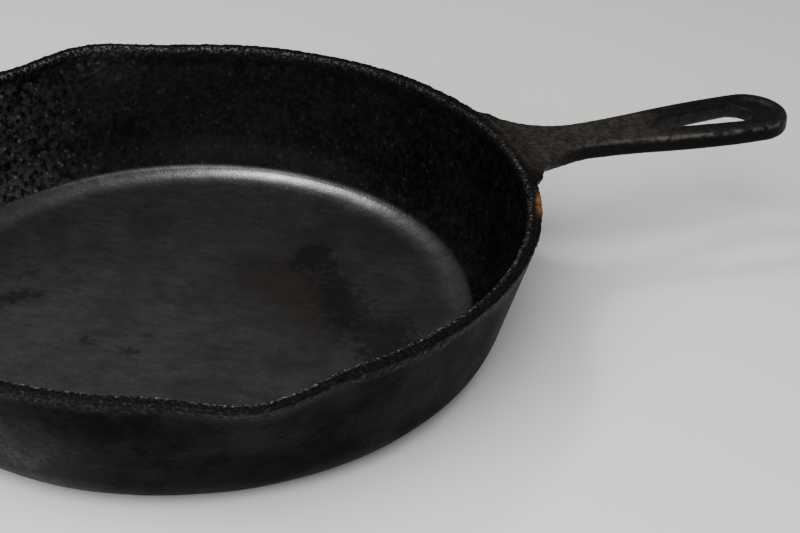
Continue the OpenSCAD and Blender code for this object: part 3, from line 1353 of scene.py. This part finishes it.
@dataclass(frozen=True)
class IronFinish:
    """Seasoned cast iron: dark baked-on oil over grainy iron, with crust, soot and rust where it wears."""

    name: str
    outer: Colour = (0.0014, 0.0013, 0.0012, 1.0)
    outer_mottle: Colour = (0.0044, 0.0040, 0.0038, 1.0)
    bowl: Colour = (0.0007, 0.0007, 0.0009, 1.0)
    floor: Colour = (0.0115, 0.0117, 0.0135, 1.0)
    handle: Colour = (0.0030, 0.0028, 0.0026, 1.0)
    face: Colour = (0.0095, 0.0088, 0.0082, 1.0)
    shank: Colour = (0.0350, 0.0305, 0.0255, 1.0)
    crust: Colour = (0.0036, 0.0035, 0.0034, 1.0)
    smudge: Colour = (0.0035, 0.0035, 0.0038, 1.0)
    wiped: Colour = (0.0060, 0.0060, 0.0064, 1.0)
    scorch: Colour = (0.0085, 0.0058, 0.0042, 1.0)
    soot: Colour = (0.0048, 0.0045, 0.0044, 1.0)
    # A lighter mottle and real spatter dots, both spread over the inner wall by a share that rises to the
    # left as painted light.
    mottle: Colour = (0.0600, 0.0530, 0.0540, 1.0)
    spatter_and_light: Colour = (0.150, 0.120, 0.105, 1.0)
    # Colour of the painted sheen on the lower front-left outer wall.
    painted_sheen: Colour = (0.022, 0.022, 0.022, 1.0)
    # Colour of the painted highlight along the handle's rails.
    crest_highlight: Colour = (0.085, 0.080, 0.074, 1.0)
    # Real specks of crust; the same colour also paints the glints along the rim's edges.
    speck: Colour = (0.20, 0.195, 0.185, 1.0)
    brown: Colour = (0.026, 0.017, 0.011, 1.0)
    rust: Colour = (0.22, 0.105, 0.042, 1.0)
    ior: float = 1.8
    bump: float = 0.6
    bump_depth: float = 0.35 * MM
    dot_size: float = 3.4 * MM
    sweep: float = math.radians(-38.0)

    def material(self) -> bpy.types.Material:
        """Builds the material.

        Returns:
            The finished material.
        """
        material = bpy.data.materials.new(self.name)
        material.use_nodes = True
        material.node_tree.nodes.clear()
        write = TreeWriter(material.node_tree)
        maps = {name: self.read(write, name) for name in Wear.NAMES}
        layers = self.layers(write)
        shader = write.add("ShaderNodeBsdfPrincipled")
        write.feed(shader.inputs["Base Color"], self.colour(write, maps, layers))
        write.feed(shader.inputs["Roughness"], self.roughness(write, maps, layers))
        write.feed(shader.inputs["Specular IOR Level"], self.shine(write, maps, layers))
        write.feed(shader.inputs["Normal"], self.relief(write, maps, layers))
        shader.inputs["IOR"].default_value = self.ior
        write.feed(write.add("ShaderNodeOutputMaterial").inputs["Surface"], shader.outputs[0])
        return material

    @staticmethod
    def read(write: TreeWriter, name: str) -> bpy.types.NodeSocket:
        """Reads one of the piece's wear maps.

        Args:
            write: The tree's writer.
            name: The map's name.

        Returns:
            The map's socket.
        """
        node = write.add("ShaderNodeAttribute", attribute_name=name)
        return node.outputs["Fac"]

    def layers(self, write: TreeWriter) -> Layers:
        """Lays out the noise, all of it fixed to the casting.

        Args:
            write: The tree's writer.

        Returns:
            The noise layers.
        """
        place = write.add("ShaderNodeTexCoord").outputs["Object"]
        swept = write.add("ShaderNodeMapping", vector_type="TEXTURE")
        write.feed(swept.inputs["Vector"], place)
        swept.inputs["Rotation"].default_value = (0.0, 0.0, self.sweep)
        swept.inputs["Scale"].default_value = (2.2, 1.0, 1.0)
        drops = write.add("ShaderNodeTexVoronoi")
        write.feed(drops.inputs["Vector"], place)
        drops.inputs["Scale"].default_value = 1.0 / self.dot_size
        chosen = write.ramp(drops.outputs["Color"], 0.4, 0.7)
        return Layers(
            grain=write.noise(place, 0.9 * MM, detail=3.0, rough=0.65, seed=1.0),
            coarse=write.noise(place, 2.6 * MM, detail=4.0, rough=0.6, seed=2.0),
            cloud=write.noise(place, 26.0 * MM, detail=5.0, rough=0.66, seed=3.0),
            wide=write.noise(place, 75.0 * MM, detail=3.0, rough=0.5, seed=5.0),
            wiped=write.noise(swept.outputs[0], 3.6 * MM, detail=7.0, rough=0.72, seed=9.0, distort=0.3),
            fleck=write.noise(place, 1.1 * MM, detail=2.0, rough=0.6, seed=12.0),
            mottle=write.noise(place, 2.2 * MM, detail=3.0, rough=0.6, seed=21.0),
            dots=write.times(write.ramp(drops.outputs["Distance"], 0.30, 0.06), chosen),
        )

    def colour(
        self, write: TreeWriter, maps: dict[str, bpy.types.NodeSocket], layers: Layers
    ) -> bpy.types.NodeSocket:
        """The surface colour, from the zones and the layers of soot, specks and rust, with painted glints,
        highlights, sheen, light and shade.

        Args:
            write: The tree's writer.
            maps: The wear maps.
            layers: The noise layers.

        Returns:
            The colour's socket.
        """
        outer = write.blend(write.ramp(layers.mottle, 0.40, 0.72), self.outer, self.outer_mottle)
        skin = write.blend(maps["inside"], outer, self.bowl)
        skin = write.blend(maps["floor"], skin, self.floor)
        skin = write.blend(maps["handle"], skin, self.handle)
        skin = write.blend(maps["face"], skin, self.face)
        grainy = write.math("ADD", write.times(write.ramp(layers.mottle, 0.40, 0.62), 0.8), 0.2)
        shank = write.times(maps["root"], maps["face"])
        skin = write.blend(write.times(shank, grainy), skin, self.shank)
        skin = write.blend(write.times(maps["crust"], write.mix(shank, 1.0, 0.3)), skin, self.crust)
        smudged = write.times(write.ramp(layers.cloud, 0.40, 0.64), write.mix(shank, 0.65, 0.1))
        skin = write.blend(smudged, skin, self.smudge)
        browned = write.times(write.ramp(layers.wide, 0.52, 0.72), 0.30)
        bare = write.mix(maps["inside"], 0.4, write.mix(maps["floor"], 0.05, 0.3))
        browned = write.times(browned, bare)
        skin = write.blend(browned, skin, self.brown)
        tinted = write.times(shank, write.ramp(layers.coarse, 0.45, 0.66))
        skin = write.blend(write.times(tinted, 0.5), skin, self.brown)
        streaked = write.times(write.ramp(layers.wiped, 0.62, 0.36), maps["floor"])
        skin = write.blend(write.times(streaked, 0.5), skin, self.wiped)
        skin = write.blend(write.times(maps["scorch"], 0.85), skin, self.scorch)
        skin = write.blend(self.sooted(write, maps, layers), skin, self.soot)
        # Real spatter dots and a lighter mottle, spread by the painted light that lightens the left inner
        # wall.
        lit_splash = write.times(maps["spatter_and_light"], write.mix(maps["crust"], 1.0, 0.0))
        lit_mottle = write.times(write.ramp(layers.mottle, 0.36, 0.70), lit_splash)
        skin = write.blend(lit_mottle, skin, self.mottle)
        spatter_and_light = write.times(layers.dots, lit_splash)
        skin = write.blend(spatter_and_light, skin, self.spatter_and_light)
        # Painted sheen low on the front-left outer wall.
        sheened = write.times(write.ramp(layers.cloud, 0.40, 0.62), maps["painted_sheen"])
        sheened = write.times(sheened, write.ramp(layers.mottle, 0.40, 0.62))
        skin = write.blend(sheened, skin, self.painted_sheen)
        # Painted highlight along the handle's rails.
        crest_highlight = write.times(write.ramp(layers.coarse, 0.40, 0.62), maps["crest"])
        skin = write.blend(write.times(crest_highlight, 0.75), skin, self.crest_highlight)
        speckled = write.ramp(layers.grain, 0.56, 0.76)
        speckled = write.times(speckled, write.ramp(layers.coarse, 0.46, 0.68))
        amount = write.math("ADD", write.times(maps["crust"], 0.02), 0.05)
        amount = write.times(amount, write.mix(maps["inside"], 1.0, 0.2))
        skin = write.blend(write.times(speckled, amount), skin, self.speck)
        # Painted glints along the rim's edges, in the speck colour.
        edge_glints = write.times(write.ramp(layers.fleck, 0.46, 0.62), maps["edge"])
        skin = write.blend(write.times(edge_glints, 0.7), skin, self.speck)
        rusted = write.times(maps["rust"], write.ramp(layers.coarse, 0.3, 0.6))
        return write.blend(rusted, skin, self.rust)

    def roughness(
        self, write: TreeWriter, maps: dict[str, bpy.types.NodeSocket], layers: Layers
    ) -> bpy.types.NodeSocket:
        """How dull each place is.

        Args:
            write: The tree's writer.
            maps: The wear maps.
            layers: The noise layers.

        Returns:
            The roughness socket.
        """
        dull = write.mix(maps["inside"], 0.52, 0.48)
        dull = write.mix(maps["floor"], dull, 0.28)
        dull = write.mix(maps["handle"], dull, 0.42)
        dull = write.mix(maps["crust"], dull, 0.40)
        dull = write.mix(maps["crest"], dull, 0.32)
        uneven = write.times(write.math("SUBTRACT", layers.cloud, 0.5), 0.10)
        fine = write.times(write.math("SUBTRACT", layers.grain, 0.5), 0.12)
        return write.math("ADD", write.math("ADD", dull, uneven), fine, clamp=True)

    @staticmethod
    def sooted(
        write: TreeWriter, maps: dict[str, bpy.types.NodeSocket], layers: Layers
    ) -> bpy.types.NodeSocket:
        """The soot marks, broken up at their edges.

        Args:
            write: The tree's writer.
            maps: The wear maps.
            layers: The noise layers.

        Returns:
            The share of soot at each place.
        """
        ragged = write.times(write.math("SUBTRACT", layers.coarse, 0.5), 1.6)
        broken = write.math("ADD", maps["soot"], ragged)
        return write.times(write.ramp(broken, 0.2, 0.85), write.ramp(maps["soot"], 0.0, 0.35))

    def shine(
        self, write: TreeWriter, maps: dict[str, bpy.types.NodeSocket], layers: Layers
    ) -> bpy.types.NodeSocket:
        """How strongly each place reflects: the oiled floor most, the sooty walls least.

        Args:
            write: The tree's writer.
            maps: The wear maps.
            layers: The noise layers.

        Returns:
            The specular level's socket.
        """
        outer = write.mix(write.ramp(layers.cloud, 0.38, 0.64), 0.015, 0.045)
        level = write.mix(maps["inside"], write.mix(maps["painted_sheen"], outer, 0.12), 0.035)
        level = write.mix(maps["handle"], level, 0.05)
        level = write.mix(maps["face"], level, write.mix(write.ramp(layers.mottle, 0.4, 0.66), 0.16, 0.42))
        level = write.mix(maps["crust"], level, write.mix(write.ramp(layers.fleck, 0.50, 0.68), 0.04, 0.20))
        level = write.mix(maps["edge"], level, write.mix(write.ramp(layers.fleck, 0.46, 0.60), 0.06, 0.8))
        oiled = write.mix(write.ramp(layers.wiped, 0.34, 0.66), 0.60, 1.0)
        oiled = write.times(oiled, write.mix(write.ramp(layers.cloud, 0.42, 0.64), 1.0, 0.68))
        level = write.mix(maps["floor"], write.times(level, 0.49), oiled)
        level = write.times(level, write.mix(maps["scorch"], 1.0, 0.45))
        return write.times(level, write.mix(self.sooted(write, maps, layers), 1.0, 0.38))

    def relief(
        self, write: TreeWriter, maps: dict[str, bpy.types.NodeSocket], layers: Layers
    ) -> bpy.types.NodeSocket:
        """Grain that is too fine for the mesh.

        Args:
            write: The tree's writer.
            maps: The wear maps.
            layers: The noise layers.

        Returns:
            The shading normal's socket.
        """
        height = write.math("ADD", layers.grain, write.times(layers.coarse, 0.8))
        calm = write.mix(maps["floor"], 1.1, 0.2)
        calm = write.times(calm, write.mix(maps["crust"], 1.0, 2.0))
        bump = write.add("ShaderNodeBump")
        bump.inputs["Strength"].default_value = self.bump
        bump.inputs["Distance"].default_value = self.bump_depth
        write.feed(bump.inputs["Height"], write.times(height, calm))
        return bump.outputs[0]


# ---------------------------------------------------------------------------------------------------------
# Pieces
# ---------------------------------------------------------------------------------------------------------


@dataclass
class SkilletCasting:
    """Builds, parts and dresses the casting."""

    casting: Casting
    mesher: CastingMesher
    skin: CastSkin = field(default_factory=CastSkin)
    proud_sides: float = 0.6 * MM
    proud_top: float = 0.5 * MM

    def build(self) -> list[bpy.types.Object]:
        """Makes every piece of the casting.

        Returns:
            The pieces, one for each region.
        """
        mesh = self.mesher.refine(self.mesher.build())
        LOG.info("casting: %d vertices", len(mesh.points))
        metals = {slot: IronFinish(name=slot).material() for slot in sorted({r.slot for r in Region})}
        wear = Wear(self.casting).maps(mesh.points)
        normals = self.roughen(mesh, wear, next(iter(metals.values())))
        return [self.piece(region, mesh, wear, normals, metals[region.slot]) for region in Region]

    def roughen(
        self, mesh: SkinMesh, wear: dict[str, np.ndarray], metal: bpy.types.Material
    ) -> np.ndarray:
        """Displaces the whole skin at once, so that borders stay shut.

        Args:
            mesh: The casting's mesh; its points are moved.
            wear: The wear maps.
            metal: A material for the tree to set.

        Returns:
            The displaced skin's vertex normals.
        """
        skin = quad_mesh("whole_skin", mesh.points, np.concatenate([f.skin for f in mesh.pieces.values()]))
        for name, values in wear.items():
            set_attribute(skin, name, values)
        displaced = self.skin.apply(skin, metal)
        moved = read_points(displaced)
        moved[mesh.seam_points] = moved[mesh.seam_ends].mean(axis=1)
        low, high = np.array(CAD_BOX[0]), np.array(CAD_BOX[1])
        proud = np.array([self.proud_sides, self.proud_sides, self.proud_top])
        moved = np.clip(moved, [low[0] - proud[0], low[1] - proud[1], low[2]], high + proud)
        mesh.points[mesh.on_skin] = moved[mesh.on_skin]
        normals = read_normals(displaced)
        normals[mesh.seam_points] = normals[mesh.seam_ends].mean(axis=1)
        bpy.data.meshes.remove(displaced)
        bpy.data.meshes.remove(skin)
        return normals

    def piece(
        self,
        region: Region,
        mesh: SkinMesh,
        wear: dict[str, np.ndarray],
        normals: np.ndarray,
        metal: bpy.types.Material,
    ) -> bpy.types.Object:
        """Makes one region's closed piece.

        Args:
            region: The region to make.
            mesh: The casting's mesh.
            wear: The wear maps.
            normals: Vertex normals of the whole skin.
            metal: The region's material.

        Returns:
            The finished piece, riding on the frame.
        """
        faces = mesh.pieces[region]
        quads = faces.quads
        used, local = np.unique(quads, return_inverse=True)
        own = quad_mesh(f"{region.node}_cast", mesh.points[used], local.reshape(-1, 4))
        for name, values in wear.items():
            set_attribute(own, name, values[used])
        shading = normals[quads]
        flat = np.empty(3 * len(quads), np.float32)
        own.polygon_normals.foreach_get("vector", flat)
        flat = flat.reshape(-1, 3)
        shading[len(faces.skin) :] = flat[len(faces.skin) :, None, :]
        own.normals_split_custom_set(shading.reshape(-1, 3).tolist())
        own.materials.append(metal)
        piece = bpy.data.objects.new(f"{region.node}_skin", own)
        bpy.context.scene.collection.objects.link(piece)
        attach(piece, BODY)
        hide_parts(region.node)
        LOG.info("%s: %d quads", piece.name, len(quads))
        return piece


# ---------------------------------------------------------------------------------------------------------
# Studio
# ---------------------------------------------------------------------------------------------------------


@dataclass(frozen=True)
class Softbox:
    """A square soft light that faces the middle of the base."""

    name: str
    azimuth: float
    elevation: float
    distance: float
    size: float
    power: float

    def place(self) -> bpy.types.Object:
        """Puts the light in the scene.

        Returns:
            The placed light.
        """
        lamp = bpy.data.lights.new(self.name, "AREA")
        lamp.shape = "SQUARE"
        lamp.size = self.size
        lamp.energy = self.power
        light = bpy.data.objects.new(self.name, lamp)
        a, e = math.radians(self.azimuth), math.radians(self.elevation)
        away = Vector((math.cos(a) * math.cos(e), math.sin(a) * math.cos(e), math.sin(e)))
        light.location = away * self.distance
        light.rotation_mode = "QUATERNION"
        light.rotation_quaternion = away.to_track_quat("Z", "Y")
        light.visible_camera = False
        bpy.context.scene.collection.objects.link(light)
        return light


@dataclass(frozen=True)
class Studio:
    """The pale floor, the soft lights and the camera."""

    pan: PanForm
    floor_size: float = 6.0
    paper: Colour = (0.80, 0.795, 0.78, 1.0)
    paper_roughness: float = 0.9
    sky: Colour = (1.0, 0.995, 0.985, 1.0)
    ambient: float = 0.10
    camera_azimuth: float = -12.2
    camera_elevation: float = 29.04
    camera_distance: float = 0.6568
    camera_roll: float = 1.43
    camera_aim: tuple[float, float] = (58.9 * MM, -73.5 * MM)
    lens: float = 79.45

    def build(self) -> None:
        """Makes the floor, the world, the lights and the camera."""
        self.floor()
        self.world()
        Softbox(
            "back_softbox", azimuth=105.0, elevation=65.3, distance=1.125, size=0.20, power=3.2
        ).place()
        Softbox(
            "front_softbox", azimuth=236.0, elevation=52.0, distance=0.84, size=1.0, power=15.5
        ).place()
        self.camera()

    def floor(self) -> bpy.types.Object:
        """Lays a plain pale floor under the base.

        Returns:
            The floor.
        """
        half = self.floor_size / 2
        corners = [(-half, -half, 0), (half, -half, 0), (half, half, 0), (-half, half, 0)]
        mesh = bpy.data.meshes.new("studio_floor")
        mesh.from_pydata(corners, [], [(0, 1, 2, 3)])
        material = bpy.data.materials.new("studio_paper")
        material.use_nodes = True
        shader = material.node_tree.nodes["Principled BSDF"]
        shader.inputs["Base Color"].default_value = self.paper
        shader.inputs["Roughness"].default_value = self.paper_roughness
        mesh.materials.append(material)
        floor = bpy.data.objects.new("studio_floor", mesh)
        bpy.context.scene.collection.objects.link(floor)
        return floor

    def world(self) -> None:
        """Even grey light from all round."""
        world = bpy.data.worlds.new("studio_light")
        world.use_nodes = True
        back = world.node_tree.nodes["Background"]
        back.inputs["Color"].default_value = self.sky
        back.inputs["Strength"].default_value = self.ambient
        bpy.context.scene.world = world

    def camera(self) -> bpy.types.Object:
        """Aims the camera past the pan's middle, towards the handle.

        Returns:
            The camera.
        """
        lens = bpy.data.cameras.new("studio_camera")
        lens.sensor_width = 36.0
        lens.lens = self.lens
        lens.clip_start, lens.clip_end = 0.01, 20.0
        camera = bpy.data.objects.new("studio_camera", lens)
        a, e = math.radians(self.camera_azimuth), math.radians(self.camera_elevation)
        back = Vector((math.sin(a) * math.cos(e), -math.cos(a) * math.cos(e), math.sin(e)))
        rim_centre = Vector((0.0, 0.0, self.pan.height))
        aim = Vector((*self.camera_aim, self.pan.height))
        place = rim_centre + back * self.camera_distance
        look = (place - aim).to_track_quat("Z", "Y").to_matrix().to_4x4()
        roll = Matrix.Rotation(math.radians(self.camera_roll), 4, "Z")
        camera.matrix_world = Matrix.Translation(place) @ look @ roll
        bpy.context.scene.collection.objects.link(camera)
        bpy.context.scene.camera = camera
        return camera


def report(pieces: Iterable[bpy.types.Object]) -> None:
    """Logs what each piece came to.

    Args:
        pieces: The finished pieces.
    """
    for piece in pieces:
        size = piece.dimensions / MM
        LOG.info("%s: %.1f x %.1f x %.1f mm", piece.name, size.x, size.y, size.z)


def main() -> None:
    """Builds the skillet and its studio."""
    logging.basicConfig(level=logging.INFO, format="%(name)s: %(message)s")
    casting = Casting.from_frame()
    skillet = SkilletCasting(casting, CastingMesher(casting))
    report(skillet.build())
    Studio(casting.pan).build()


if __name__ == "__main__":
    main()
